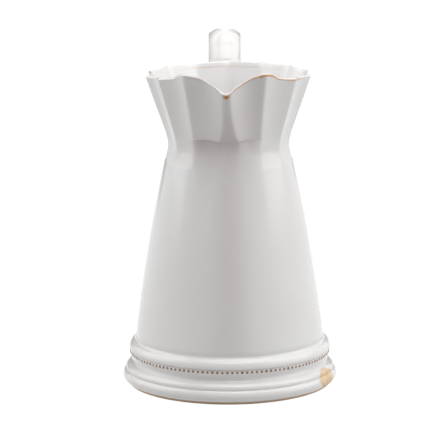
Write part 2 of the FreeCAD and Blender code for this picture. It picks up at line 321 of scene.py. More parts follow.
def smooth_faces(bm, sharp_degrees=38):
    """Smooth shading, but crisp over edges that turn by more than the given angle."""
    limit = math.radians(sharp_degrees)
    for face in bm.faces:
        face.smooth = True
    for edge in bm.edges:
        edge.smooth = len(edge.link_faces) == 2 and edge.calc_face_angle(0.0) < limit


def turned_mesh(profile, steps, layers=()):
    """Turns a profile of (radius, height, values for the layers) round the Z axis."""
    bm = bmesh.new()
    stores = [bm.verts.layers.float.new(name) for name in layers]
    row = []
    for radius, height, *values in profile:
        vert = bm.verts.new((radius, 0, height))
        for store, value in zip(stores, values):
            vert[store] = value
        row.append(vert)
    edges = [bm.edges.new(pair) for pair in zip(row, row[1:])]
    if row[0].co.x > 0:
        edges.append(bm.edges.new((row[-1], row[0])))
    bmesh.ops.spin(bm, geom=row + edges, cent=(0, 0, 0), axis=(0, 0, 1), angle=math.tau,
                   steps=steps, use_merge=True, use_normal_flip=False, use_duplicate=False)
    bmesh.ops.remove_doubles(bm, verts=bm.verts, dist=0.01 * MM)
    bmesh.ops.recalc_face_normals(bm, faces=bm.faces)
    return bm


def add_layer(bm, name):
    """The vertex layer of this name, new or already there."""
    return bm.verts.layers.float.get(name) or bm.verts.layers.float.new(name)


def turn_of(place):
    """Angle of a place from the pouring lip, in degrees, positive towards +X."""
    return math.degrees(math.atan2(place.x, -place.y))


def wobble(turn, height):
    """Slow unevenness of hand work, from -1 to 1."""
    angle = math.radians(turn)
    rise = height / (60 * MM)
    return (math.sin(2 * angle + 0.8 + rise) * 0.5 + math.sin(3 * angle - 1.1 + 1.7 * rise) * 0.3
            + math.sin(7 * angle + 2.3 - 2.2 * rise) * 0.2)


def soft_hollow(share, softness):
    """Depth of a hollow between two rounded ridges: 0 at shares 0 and 1, and 1 half way."""
    near = min(share, 1 - share)
    along = (math.hypot(near, softness) - softness) / (math.hypot(0.5, softness) - softness) / 2
    return 4 * along * (1 - along)


def panel_share(side, keel_angle):
    """Place across a panel beside the keel: 0 at the keel and 1 at the shoulder."""
    return clamped((side - keel_angle) / (SHOULDER_ANGLE - keel_angle))


class CollarShape:
    """The surface of the collar: its radius and height at any angle, level and place across the wall."""

    def __init__(self):
        size = sizes()
        self.rim_height = SHOULDER_HEIGHT - size.shoulder_rise
        self.collar_height = self.rim_height - NECK_HEIGHT
        self.waist = size.neck_radius - size.waist_inset
        self.keel_waist = self.waist + size.spout_waist_stand
        self.lean = (RIM_RADIUS - self.waist) / self.collar_height
        self.levels = {}

    def level(self, rise):
        """What the tables give at one level, worked out once."""
        key = round(rise, 5)
        if key not in self.levels:
            tables = LEVEL_TABLES.items()
            self.levels[key] = {name: smooth_table(LEVELS, table, rise) for name, table in tables}
        return self.levels[key]

    def rim_lift(self, turn):
        """Height of the rim above its back."""
        size = sizes()
        lift = size.shoulder_rise * smooth_table(RIM_ANGLES, RIM_RISE_SHARES, abs(turn))
        return lift - size.left_sag * bump_at(turn, -SHOULDER_ANGLE, 11)

    def under_ledge(self, rise):
        """1 just below the ledge, fading to 0 in the waist and above the ledge."""
        if rise > LEDGE_RISE:
            return 0.0
        return eased(clamped((rise - LEVELS[1]) / (LEDGE_RISE - LEVELS[1])))

    def skin(self, turn, rise, inset, depth_share, softness):
        """Outer or inner radius at an angle, before the rim's rise is added."""
        size = sizes()
        at = self.level(rise)
        ridge = self.waist + at["pinch"] * size.waist_inset + at["flare"] * (RIM_RADIUS - self.waist) - inset
        side = abs(turn)
        if side >= SHOULDER_ANGLE:
            share = ((side - SHOULDER_ANGLE) / FLUTE_ANGLE) % 1.0
            return ridge - size.flute_depth * depth_share * at["flute"] * soft_hollow(share, softness)
        keel = (self.keel_waist + at["pinch"] * (size.neck_radius - self.keel_waist)
                + at["flare"] * (SPOUT_RADIUS - self.keel_waist) - inset)
        share = panel_share(side, at["keel_angle"])
        plain = keel + (ridge - keel) * share
        hollow = soft_hollow(share, softness)
        front = 1 - soft_hollow(0.5 + side / (2 * SHOULDER_ANGLE), 0.1)
        ledge = size.ledge_depth * self.under_ledge(rise) * (1 - front ** 2) * depth_share
        return plain - size.panel_depth * depth_share * at["panel"] * hollow - ledge

    def twist(self, turn, rise):
        """How far the hand turned this part of the collar, in degrees."""
        at = self.level(rise)
        keel, shoulder = at["keel_turn"], at["shoulder_turn"]
        side = abs(turn)
        spread = (at["shoulder_angle"] - SHOULDER_ANGLE) * (1 if turn > 0 else -1)
        if side < SHOULDER_ANGLE:
            share = side / SHOULDER_ANGLE
            return keel + (shoulder - keel) * share + spread * share * share
        return (shoulder + spread) * max(0.0, 1 - (side - SHOULDER_ANGLE) / (2 * FLUTE_ANGLE))

    def place(self, turn, rise, across):
        """A point of the collar. across is 0 on the outside, 1 on the inside and between over the lip."""
        size = sizes()
        lift = self.rim_lift(turn)
        wave = self.level(rise)["wave"]
        inset = size.wall_thickness + (size.rim_thickness - size.wall_thickness) * rise
        outer = self.skin(turn, rise, 0, 1, size.ridge_softness) if across < 1 else 0
        inner = self.skin(turn, rise, inset, size.inner_depth, size.inner_softness) if across > 0 else 0
        radius = outer + (inner - outer) * across if 0 < across < 1 else outer or inner
        radius += lift * wave * self.lean
        height = NECK_HEIGHT + rise * self.collar_height + wave * lift
        if across > 0:
            height -= size.lip_inner_drop * eased(across) * clamped((rise - LIP_RISE) / (1 - LIP_RISE))
        if 0 < across < 1:
            height += size.lip_height * math.sin(math.pi * across) ** 0.9
        if across == 0 and abs(turn) < SHOULDER_ANGLE:
            share = panel_share(abs(turn), self.level(rise)["keel_angle"])
            arch = soft_hollow(share, size.ridge_softness)
            height += 1.1 * size.ledge_depth * arch * bump_at(rise, LEDGE_RISE, 0.06)
        radius += size.hand_wobble * wobble(turn, height) * min(1, rise * 3)
        height += size.hand_wobble * wobble(2 * turn + 40, 0) * wave
        angle = math.radians(turn + self.twist(turn, rise))
        return Vector((radius * math.sin(angle), -radius * math.cos(angle), height))


def wall_points(count):
    """Outer and inner lines of the cone, from the roll up to the neck."""
    size = sizes()
    middle_radius = (WALL_FOOT_RADIUS + size.neck_radius) / 2 + size.wall_belly
    middle_height = (ROLL_TOP + NECK_HEIGHT) / 2
    outer = arc_points((WALL_FOOT_RADIUS, ROLL_TOP), (middle_radius, middle_height),
                       (size.neck_radius, NECK_HEIGHT), count)
    inner = arc_points((size.neck_radius - size.wall_thickness, NECK_HEIGHT),
                       (middle_radius - size.wall_thickness, middle_height),
                       (SEAT_RADIUS - size.floor_wall, FLOOR_TOP), count)
    return outer, inner


def collar_rises(count):
    """Levels from the neck to the rim, closer together under the lip, with one on each side of the ledge."""
    near = 0.004
    rises = [1 - (1 - step / count) ** 1.35 for step in range(1, count + 1)]
    rises = [rise for rise in rises if abs(rise - LEDGE_RISE) > 2 * near]
    return sorted(rises + [LEDGE_RISE - near, LEDGE_RISE + near])


def vessel_profile():
    """The vessel's section: under the mouldings, up the outside, over the lip and down to the floor.

    Each point is radius, height, rise in the collar, place across the wall.
    """
    outer, inner = wall_points(26)
    skin = 0.4 * MM
    fillet = 7 * MM
    base = FLOOR_TOP + skin
    seat = SEAT_RADIUS - skin
    points = [(0, base - skin / 2), (seat, base - skin / 2), (seat, ROLL_TOP - skin),
              (outer[0][0] - skin, ROLL_TOP - skin)]
    profile = [(radius, height, 0, 0) for radius, height in points + outer]
    shape = CollarShape()
    for rise in collar_rises(46):
        profile.append((RIM_RADIUS, NECK_HEIGHT + rise * shape.collar_height, rise, 0))
    lip_steps = 12
    size = sizes()
    for step in range(1, lip_steps):
        across = step / lip_steps
        crest = size.lip_height * math.sin(math.pi * across)
        profile.append((RIM_RADIUS - across * size.rim_thickness, shape.rim_height + crest, 1, across))
    for rise in reversed(collar_rises(34)):
        profile.append((RIM_RADIUS - size.rim_thickness, NECK_HEIGHT + rise * shape.collar_height, rise, 1))
    profile += [(radius, height, 0, 1) for radius, height in inner if height > base + fillet]
    corner = inner[-1][0]
    for step in range(9):
        angle = math.pi / 2 * step / 8
        radius = corner - fillet + fillet * math.cos(angle)
        profile.append((radius, base + fillet - fillet * math.sin(angle), 0, 1))
    for share in (0.75, 0.5, 0.25, 0):
        profile.append(((corner - fillet) * share, base, 0, 1))
    return profile


def break_strength(turn):
    """How strongly the tan line shows along the outer edge of the lip, by angle."""
    right = bump_at(turn, 36, 34)
    left = 0.25 * bump_at(turn, -28, 30)
    back = 0.15
    return min(1.0, right + left + back) * (0.8 + 0.2 * math.sin(math.radians(turn * 13 + 20)))


def build_vessel():
    """The wall, collar, lip and inside as one glazed skin, because the real glaze has no seam there."""
    size = sizes()
    names = ("rise", "across", "thin", "veil_and_shade")
    bm = turned_mesh(vessel_profile(), size.around_steps, names)
    rise_of, across_of, thin_of, veil_and_shade_of = (add_layer(bm, name) for name in names)
    shape = CollarShape()
    for vert in bm.verts:
        turn = turn_of(vert.co)
        rise, across = vert[rise_of], vert[across_of]
        if rise > 0:
            vert.co = shape.place(turn, rise, across)
            vert[thin_of] = lip_break(turn, rise, across, shape)
            if across == 0:
                # Painted shade on the panels, under the ledge and on the keel, where it is partly thin
                # glaze.
                vert[veil_and_shade_of] = front_veil_and_shade(turn, rise)
        elif vert.co.z > ROLL_TOP and across == 0:
            up = (vert.co.z - ROLL_TOP) / (NECK_HEIGHT - ROLL_TOP)
            push = size.hand_wobble * wobble(turn, vert.co.z) * math.sin(math.pi * up)
            vert.co.x += push * math.sin(math.radians(turn))
            vert.co.y -= push * math.cos(math.radians(turn))
            # Painted shade down the body's front.
            vert[veil_and_shade_of] = front_veil_and_shade(turn, (vert.co.z - NECK_HEIGHT) / shape.collar_height)
    for name in ("rise", "across"):
        bm.verts.layers.float.remove(add_layer(bm, name))
    smooth_faces(bm, 60)
    new_piece("glazed_vessel", bm, glaze_material("vessel_finish"), "white_glaze",
              "body_wall", "fluted_collar", "pouring_spout", "rim_lip")


def lip_break(turn, rise, across, shape):
    """How thin the glaze lies on the edges of the lip, at the notch and in one drip beside it."""
    rim_thickness = sizes().rim_thickness
    below_lip = (1 - rise) * shape.collar_height
    if across >= 0.5:
        to_inner = (1 - across) * rim_thickness + below_lip
        strength = 0.08 + 0.22 * bump_at(turn, -170, 40) + 0.2 * bump_at(turn, 175, 45)
        return strength * bump_at(to_inner, 0, 0.5 * MM)
    from_edge = across * rim_thickness - (below_lip if across == 0 else 0)
    thin = break_strength(turn) * bump_at(from_edge, 0, 0.45 * MM)
    notch = 1.4 * bump_at(turn, 0.0, 1.9) * bump_at(from_edge, -1.4 * MM, 1.5 * MM)
    drip = 1.1 * bump_at(turn, SHOULDER_ANGLE - 3, 1.5) * bump_at(from_edge, -0.2 * MM, 0.7 * MM)
    return max(thin, notch, drip)


def front_veil_and_shade(turn, rise):
    """How much grey brown lies on the front: on the keel partly clay through thin glaze and partly painted
    shade, painted shade in the panels, a painted shadow under the ledge, and painted shade down the body's
    front.
    """
    keel_angle = smooth_table(LEVELS, LEVEL_TABLES["keel_angle"], rise)
    low_reach, waist_fade, ledge_fade = 0.3, 0.24, 0.06
    edge = 0.6 + 2.4 * clamped((low_reach - rise) / low_reach)
    # Keel band: partly clay through thin glaze and partly painted shade; below the collar it is painted
    # shade down the body's front.
    keel = smooth_table(VEIL_AND_SHADE_PLACES, VEIL_AND_SHADE_SHARES, rise) * inside(turn, keel_angle, edge)
    below = LEDGE_RISE - rise
    # Under the ledge: a painted shadow of its overhang, stronger to the left.
    if below > 0:
        strength = 0.86 - 0.01 * (turn + 21)
        return max(keel, strength * inside(turn + 2, 28, 2) * math.exp(-below / waist_fade))
    # Above the ledge: painted shade in the panels, stronger towards the shoulders, on the right and near the
    # ledge.
    at_shoulder = 0.12 if turn < 0 else 0.24
    panel = 0.05 + at_shoulder * min(1.0, abs(turn) / SHOULDER_ANGLE) + 0.14 * math.exp(below / ledge_fade)
    return max(keel, panel * inside(turn, SHOULDER_ANGLE, 0.7))


def ring_piece(name, node, outline, material, paint=None):
    """A turned ring from an open outline of its outer face, closed behind along its seat."""
    closed = outline + [(SEAT_RADIUS, outline[-1][1]), (SEAT_RADIUS, outline[0][1])]
    bm = turned_mesh(closed, RING_STEPS)
    thin_of = add_layer(bm, "thin")
    add_layer(bm, "veil_and_shade")
    if paint:
        for vert in bm.verts:
            vert[thin_of] = paint(vert.co.z, turn_of(vert.co))
    smooth_faces(bm)
    new_piece(name, bm, material, "white_glaze", node)


def build_mouldings():
    """The four glazed rings of the foot, from the lowest up."""
    wall = WALL_FOOT_RADIUS
    glaze = glaze_material("foot_finish", chipped=True)

    def paint_foot(height, turn):
        bottom = 0.36 * bump_at(height, FOOT_TOP, 0.6 * MM)
        uneven = 0.75 + 0.25 * math.sin(math.radians(5 * turn))
        return max(bottom, 0.28 * bump_at(height, GROOVE_HEIGHT, 0.45 * MM) * uneven)

    groove = (wall + 6.7 * MM, GROOVE_HEIGHT)
    edge = (wall + 5.4 * MM, FOOT_TOP)
    widest = (wall + 8.85 * MM, FOOT_TOP + 3.2 * MM)
    lower = arc_points(edge, widest, groove, 17)
    ring_piece("lower_foot_glaze", "lower_foot_moulding", lower, glaze, paint_foot)

    swell = (groove[0] + 0.2 * MM, GROOVE_HEIGHT + 1.3 * MM)
    shoulder = (groove[0] - 0.5 * MM, GROOVE_HEIGHT + 2.9 * MM)
    slope = (groove[0] - 1.8 * MM, COVE_FOOT - 0.98 * MM)
    upper = arc_points(groove, swell, shoulder, 9)
    upper += arc_points(upper[-1], slope, (wall + 3.5 * MM, COVE_FOOT), 8)[1:]
    ring_piece("upper_foot_glaze", "upper_foot_moulding", upper, glaze, paint_foot)

    land = wall + 2.2 * MM
    deepest = (wall + 1.77 * MM, COVE_FOOT + 2.4 * MM)
    ridge = (land + 1.6 * MM, (BEAD_LOW + BEAD_HIGH) / 2)
    cove = arc_points(upper[-1], deepest, (land, BEAD_LOW - 0.1 * MM), 12)
    cove += arc_points(cove[-1], ridge, (land + 0.6 * MM, ROLL_FOOT), 11)[1:]
    ring_piece("cove_glaze", "cove_band", cove, glaze)

    crown, crown_height = wall + 4.65 * MM, ROLL_FOOT + 1.2 * MM
    turn_in = (crown - 0.45 * MM, ROLL_FOOT + 0.3 * MM)
    roll = arc_points((land + 0.4 * MM, ROLL_FOOT), turn_in, (crown, crown_height), 7)
    depth, rise = crown - wall, ROLL_TOP - crown_height
    reach = (depth * depth + rise * rise) / (2 * depth)
    steps, sweep = 14, math.radians(56)
    for step in range(1, steps + 1):
        angle = sweep * step / steps
        roll.append((crown - reach + reach * math.cos(angle), crown_height + reach * math.sin(angle)))
    fillet = (wall + 0.72 * MM, ROLL_TOP - 0.1 * MM)
    roll += arc_points(roll[-1], fillet, (wall - 0.05 * MM, ROLL_TOP + 1.4 * MM), 9)[1:]
    ring_piece("upper_roll_glaze", "upper_roll", roll, glaze)


def build_foot_ring():
    """The bare clay ring under the glaze, with a worn edge, and the clay of the floor's underside."""
    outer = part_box("foot_ring")[1].y - 0.1 * MM
    inner = outer - 11.2 * MM
    wear = 0.7 * MM
    outline = [(inner, FOOT_TOP), (inner, wear), (inner + wear, 0), (outer - 1.6 * wear, 0)]
    outline += [(outer - 0.5 * wear, 0.35 * wear), (outer, 1.4 * wear), (outer, FOOT_TOP)]
    bm = turned_mesh(outline, RING_STEPS)
    for vert in bm.verts:
        if vert.co.z > 0 and math.hypot(vert.co.x, vert.co.y) > outer - wear:
            push = 0.12 * MM * wobble(9 * turn_of(vert.co), 0)
            vert.co.xy *= 1 + push / outer
    smooth_faces(bm)
    clay = clay_material()
    new_piece("foot_ring_clay", bm, clay, "bare_clay", "foot_ring")
    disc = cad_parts["floor_disc"]
    disc.data.materials.clear()
    disc.data.materials.append(clay)


def build_beads():
    """The string of sprigged beads, slightly uneven, half sunk in glaze."""
    size = sizes()
    middle = (BEAD_LOW + BEAD_HIGH) / 2
    circle = WALL_FOOT_RADIUS + 2.8 * MM
    top_start, top_edge = 0.7, 0.12
    bm = bmesh.new()
    top_of = add_layer(bm, "thin")
    add_layer(bm, "veil_and_shade")
    for index in range(size.bead_count):
        turn = math.tau * (index + 0.5) / size.bead_count
        uneven = math.sin(index * 2.39) * 0.5 + math.sin(index * 5.13 + 1) * 0.5
        scale = 1 + 0.07 * uneven
        spot = Matrix.Rotation(turn, 4, "Z") @ Matrix.Translation((circle, 0, middle + 0.06 * MM * uneven))
        made = bmesh.ops.create_icosphere(bm, subdivisions=3, radius=size.bead_radius * scale,
                                          matrix=spot @ Matrix.Diagonal((1, 1.05, 0.95, 1)))
        out = Vector((math.cos(turn), math.sin(turn), 0))
        centre = out * circle + Vector((0, 0, middle))
        filled = 0.45 + 0.4 * math.sin(index * 1.7 + 0.4) * math.sin(index * 0.37)
        for vert in made["verts"]:
            lean = (vert.co - centre).normalized().dot(out)
            vert[top_of] = clamped((lean - top_start) / top_edge) * (0.4 + 0.6 * min(1.0, filled + 0.3))
    smooth_faces(bm, 80)
    new_piece("bead_string_glaze", bm, bead_material(), "bead_glaze", "bead_string")


def strap_corners():
    """Corners (depth, height) of the strap's middle line, from inside the collar to inside the wall."""
    size = sizes()
    shape = CollarShape()
    *_, flare, last_flare = LEVEL_TABLES["flare"]
    slope = Vector(((last_flare - flare) * (RIM_RADIUS - shape.waist),
                    (LEVELS[-1] - LEVELS[-2]) * shape.collar_height)).normalized()
    out = Vector((slope.y, -slope.x))
    bed, clear = 1.2 * MM, 0.1 * MM
    seat_drop, tongue_drop, tongue_bite = 15 * MM, 13 * MM, 8.5 * MM
    top_run, elbow_run, elbow_drop = 31.6 * MM, 10 * MM, 75 * MM
    rim = Vector((RIM_RADIUS, shape.rim_height)) + out * (bed + size.strap_thickness / 2)
    over = rim + slope * ((STRAP_TOP - size.strap_thickness / 2 - clear - rim.y) / slope.y)
    back = over + Vector((top_run, 0))
    elbow = back + Vector((elbow_run, -elbow_drop))
    foot = Vector((52 * MM, 91.5 * MM))
    seat = rim - slope * seat_drop
    tongue = seat - slope * tongue_drop - out * tongue_bite
    return [tongue, seat, over, back, elbow, foot]


def strap_route(step):
    """Even points along the strap's middle line, with its corners rounded and then eased."""
    corners = strap_corners()
    rounding, arc_steps = 0.45, 12
    points = [corners[0]]
    for before, corner, after in zip(corners, corners[1:], corners[2:]):
        tangent = rounding * min((before - corner).length, (after - corner).length)
        first = corner + (before - corner).normalized() * tangent
        last = corner + (after - corner).normalized() * tangent
        for index in range(arc_steps + 1):
            share = index / arc_steps
            points.append(first.lerp(corner, share).lerp(corner.lerp(last, share), share))
    points.append(corners[-1])
    lengths = [0.0]
    for a, b in zip(points, points[1:]):
        lengths.append(lengths[-1] + (b - a).length)
    count = round(lengths[-1] / step)
    even = []
    index = 0
    for number in range(count + 1):
        goal = lengths[-1] * number / count
        while index < len(points) - 2 and lengths[index + 1] < goal:
            index += 1
        span = lengths[index + 1] - lengths[index]
        even.append(points[index].lerp(points[index + 1], (goal - lengths[index]) / span))
    return even


def strap_section(grow):
    """Outline of the strap as (side, depth), depth positive towards the inside of the handle's loop."""
    size = sizes()
    half_width = STRAP_HALF_WIDTH + grow
    half_thick = size.strap_thickness / 2 + grow
    edge = size.strap_edge / 2 + grow
    inner_crown, lean = 0.9 * MM, math.radians(36)
    shift = half_thick - edge - inner_crown
    flat = half_width - edge
    meet = Vector((flat + edge * math.sin(lean), shift - edge * math.cos(lean)))
    right = arc_points(meet, (half_width, shift), (flat, shift + edge), 8)
    inner = arc_points(right[-1], (0, half_thick), (-flat, shift + edge), 9)[1:]
    left = arc_points(inner[-1], (-half_width, shift), (-meet.x, meet.y), 8)[1:]
    outer = arc_points(left[-1], (0, -half_thick), right[0], 13)[1:-1]
    return right + inner + left + outer


def bed_line(shape, across, height):
    """How far back the middle of the collar's wall lies under the strap, across its width."""
    size = sizes()
    rise = (height - NECK_HEIGHT) / shape.collar_height
    turn = 180 - math.degrees(math.asin(across / RIM_RADIUS))
    radius = shape.skin(turn, rise, size.wall_thickness / 2, 1, size.ridge_softness)
    return math.sqrt(max(0.0, radius * radius - across * across))


def strap_tube(around, rows):
    """A closed tube of so many rows, and its rings of vertices in order."""
    bm = bmesh.new()
    rings = [bmesh.ops.create_circle(bm, segments=around, radius=MM)["verts"]]
    edges = bm.edges[:]
    bmesh.ops.contextual_create(bm, geom=edges)
    for _ in range(rows):
        made = bmesh.ops.extrude_edge_only(bm, edges=edges)["geom"]
        added = {item for item in made if isinstance(item, bmesh.types.BMVert)}
        edges = [
            item for item in made
            if isinstance(item, bmesh.types.BMEdge) and added.issuperset(item.verts)
        ]
        ring = []
        for vert in rings[-1]:
            ring += [edge.other_vert(vert) for edge in vert.link_edges if edge.other_vert(vert) in added]
        rings.append(ring)
    bmesh.ops.contextual_create(bm, geom=edges)
    return bm, rings


def paint_strap_edge_shade(bm, shape):
    """Painted shade down both edges of the strap where it rises over the rim, darker on the left, over a
    faint even grey brown on the whole strap.
    """
    add_layer(bm, "thin")
    veil_and_shade_of = add_layer(bm, "veil_and_shade")
    for vert in bm.verts:
        # Painted shade on the strap's side edges, stronger on the left.
        edge = max(0.6 * bump_at(vert.co.x, STRAP_LEFT + 1.3 * MM, 1.2 * MM),
                   0.35 * bump_at(vert.co.x, STRAP_RIGHT - 0.8 * MM, 1.0 * MM))
        edge *= smooth_table((1.5 * MM, 4.5 * MM), (0.2, 1.0), STRAP_TOP - vert.co.z)
        high = smooth_table((-6 * MM, 4 * MM), (0.0, 1.0), vert.co.z - shape.rim_height)
        front = smooth_table((18 * MM, 28 * MM), (1.0, 0.0), vert.co.y - RIM_RADIUS)
        vert[veil_and_shade_of] = 0.04 + edge * high * front


def build_handle():
    """The strap and both of its joins as one pulled and luted piece of clay."""
    upper_flare, lower_flare, join_length = 3.2 * MM, 6.5 * MM, 17 * MM
    press_depth, droop_depth, near_length = 3.4 * MM, 0.9 * MM, 50 * MM
    shape = CollarShape()
    route = strap_route(1.6 * MM)
    middle_x = (STRAP_LEFT + STRAP_RIGHT) / 2
    last = len(route) - 1
    bm, rings = strap_tube(len(strap_section(0)), last)
    for index, ring in enumerate(rings):
        place = route[index]
        ahead = (route[min(index + 1, last)] - route[max(index - 1, 0)]).normalized()
        inward = Vector((ahead.y, -ahead.x))
        from_start = (place - route[0]).length
        from_end = sum((route[i + 1] - route[i]).length for i in range(index, last))
        grow = upper_flare * max(0.0, 1 - from_start / join_length) ** 2
        grow += lower_flare * max(0.0, 1 - from_end / join_length) ** 2
        over_rim = place.y - shape.rim_height
        near_rim = from_start < near_length
        taper = smooth_table((0, 18 * MM), (0.1, 1.0), from_start)
        press = press_depth * smooth_table((0.5 * MM, 9 * MM), (1.0, 0.0), over_rim)
        droop = droop_depth * smooth_table((0, 14 * MM), (0.0, 1.0), over_rim)
        for vert, (side, depth) in zip(ring, strap_section(grow)):
            bedded = depth < 0 and near_rim
            outer = clamped(0.5 - depth / (3 * MM))
            depth += droop * outer * (abs(side) / STRAP_HALF_WIDTH) ** 2.6
            if bedded:
                depth -= press * (1 - (side / (STRAP_HALF_WIDTH + grow)) ** 4)
            point = place + inward * depth * taper
            back = point.x
            if near_rim and point.y < shape.rim_height:
                bed = bed_line(shape, middle_x + side, point.y)
                low = smooth_table((0, 5 * MM), (0.0, 1.0), shape.rim_height - point.y)
                back = back + (bed - back) * low if bedded else max(back, bed)
            vert.co = (middle_x + side, back, point.y)
    bmesh.ops.recalc_face_normals(bm, faces=bm.faces)
    paint_strap_edge_shade(bm, shape)
    smooth_faces(bm, 60)
    new_piece("handle_glaze", bm, glaze_material("handle_finish"), "white_glaze",
              "handle_strap", "handle_upper_join", "handle_lower_join")


class Value:
    """A shader socket on which sums, products and comparisons can be written."""

    def __init__(self, graph, socket):
        self.graph = graph
        self.socket = socket

    def math(self, operation, *others):
        node = self.graph.node("ShaderNodeMath", {"operation": operation}, self, *others)
        return Value(self.graph, node.outputs[0])

    def __add__(self, other):
        return self.math("ADD", other)

    def __sub__(self, other):
        return self.math("SUBTRACT", other)

    def __mul__(self, other):
        return self.math("MULTIPLY", other)

    def __truediv__(self, other):
        return self.math("DIVIDE", other)

    def __gt__(self, other):
        return self.math("GREATER_THAN", other)

    __radd__ = __add__
    __rmul__ = __mul__

    def __rsub__(self, other):
        node = self.graph.node("ShaderNodeMath", {"operation": "SUBTRACT"}, other, self)
        return Value(self.graph, node.outputs[0])

    def clamp(self):
        node = self.graph.node("ShaderNodeClamp", {}, self)
        return Value(self.graph, node.outputs[0])


class Graph:
    """The node tree of one material or world."""

    def __init__(self, tree):
        self.tree = tree
        tree.nodes.clear()

    def node(self, kind, settings=None, *values, **named):
        """Adds a node: its settings first, then its sockets by place or by name."""
        made = self.tree.nodes.new(kind)
        for key, value in (settings or {}).items():
            setattr(made, key, value)
        for index, value in enumerate(values):
            self.feed(made.inputs[index], value)
        for key, value in named.items():
            self.feed(made.inputs[key.replace("_", " ")], value)
        return made

    def feed(self, socket, value):
        if isinstance(value, Value):
            self.tree.links.new(value.socket, socket)
        elif isinstance(value, bpy.types.NodeSocket):
            self.tree.links.new(value, socket)
        elif value is not None:
            socket.default_value = value

    def object_place(self):
        return self.node("ShaderNodeTexCoord").outputs["Object"]

    def attribute(self, name):
        node = self.node("ShaderNodeAttribute", {"attribute_name": name})
        return Value(self, node.outputs["Fac"])

    def noise(self, place, scale, detail=2.0):
        node = self.node("ShaderNodeTexNoise", {}, Vector=place, Scale=scale, Detail=detail, Roughness=0.5)
        return Value(self, node.outputs["Fac"])

    def vector(self, operation, *values):
        return self.node("ShaderNodeVectorMath", {"operation": operation}, *values)

    def mix(self, factor, first, second):
        """A colour between two colours."""
        node = self.node("ShaderNodeMix", {"data_type": "RGBA"})
        self.feed(node.inputs[0], factor)
        for socket, shade in ((node.inputs[6], first), (node.inputs[7], second)):
            self.feed(socket, shade if isinstance(shade, bpy.types.NodeSocket) else (*shade, 1.0))
        return node.outputs[2]

    def bump(self, height, distance, strength, normal=None):
        """A normal that follows a height over the surface."""
        made = self.node(
            "ShaderNodeBump", {}, Strength=strength, Distance=distance, Height=height, Normal=normal)
        return made.outputs["Normal"]

    def surface(self, **sockets):
        """The shader that the material ends in."""
        self.output(self.node("ShaderNodeBsdfPrincipled", {}, **sockets))

    def output(self, shader):
        self.node("ShaderNodeOutputMaterial", {}, shader.outputs[0])


def new_material(name):
    material = bpy.data.materials.new(name)
    material.use_nodes = True
    return material, Graph(material.node_tree)


def chip_mask(graph, place):
    """Where the glaze has come off the right side of the foot, with a ragged edge."""
    centre = (67.6 * MM, -30.6 * MM, 8.6 * MM)
    radius, ragged, edge = 7.6 * MM, 5.0 * MM, 0.5 * MM
    away = graph.vector("SUBTRACT", place, centre).outputs[0]
    flat = graph.vector("MULTIPLY", away, (0.95, 0.62, 1.05)).outputs[0]
    length = Value(graph, graph.vector("LENGTH", flat).outputs["Value"])
    return ((radius - length + (graph.noise(place, 150.0, 3.0) - 0.5) * ragged) / edge).clamp()


def glaze_material(name, chipped=False):
    """Milk-white glaze over tan clay: pooled, thinned on edges, with a few iron specks, and a grey brown
    that is partly clay through thin glaze and partly painted shade.
    """
    material, graph = new_material(name)
    look = finish()
    place = graph.object_place()
    cloud = graph.noise(place, 14.0, 3.0)
    base = graph.mix(((cloud - 0.35) * 2.2).clamp(), look.glaze, look.glaze_thick)

    # Grey brown from the attribute: clay through thin glaze on the keel, and painted shade on the panels,
    # under the ledge, down the front and along the strap's edges.
    veil_and_shade = graph.attribute("veil_and_shade") * (0.85 + 0.3 * graph.noise(place, 120.0))
    base = graph.mix((veil_and_shade * 0.8).clamp(), base, look.veil_and_shade)

    thin = graph.attribute("thin") * (0.55 + 0.9 * graph.noise(place, 420.0, 3.0))
    base = graph.mix(((thin - 0.12) * 1.9).clamp(), base, look.tan)
    base = graph.mix(((thin - 0.95) * 2.4).clamp(), base, look.brown)

    cell = graph.node("ShaderNodeTexVoronoi", {"feature": "F1"}, Vector=place, Scale=55.0, Randomness=1.0)
    near = Value(graph, cell.outputs["Distance"])
    tint = graph.node("ShaderNodeSeparateColor", {}, cell.outputs["Color"])
    picked = Value(graph, tint.outputs[0]) > 0.93
    speck = ((0.012 + 0.02 * Value(graph, tint.outputs[1]) - near) * 120.0).clamp() * picked
    base = graph.mix(speck * 0.6, base, look.veil_and_shade)

    rough = look.gloss + 0.05 * graph.noise(place, 60.0) + 0.25 * (thin - 0.5).clamp()
    swell = graph.bump(graph.noise(place, 26.0, 1.0), 0.5 * MM, 0.6)
    normal = graph.bump(graph.noise(place, 300.0), 0.03 * MM, 0.5, swell)
    if chipped:
        chip = chip_mask(graph, place)
        amber = ((graph.noise(place, 240.0) - 0.45) * 3.0).clamp()
        base = graph.mix(chip, base, graph.mix(amber * 0.6, look.peach, look.tan))
        rough = rough + chip * 0.5
        normal = graph.bump(1 - chip, 0.35 * MM, 1.0, normal)
    graph.surface(Base_Color=base, Roughness=rough, IOR=1.5, Normal=normal)
    return material


def bead_material():
    """White glaze that has run off the top of each bead and left it brown."""
    material, graph = new_material("bead_finish")
    look = finish()
    place = graph.object_place()
    top = graph.attribute("thin") * (0.8 + 0.4 * graph.noise(place, 500.0))
    base = graph.mix((top * 1.6).clamp(), look.glaze, look.tan)
    base = graph.mix(((top - 0.3) * 2.2).clamp() * 0.8, base, look.brown)
    normal = graph.bump(graph.noise(place, 700.0), 0.05 * MM, 0.5)
    graph.surface(Base_Color=base, Roughness=look.gloss + 0.1, IOR=1.5, Normal=normal)
    return material


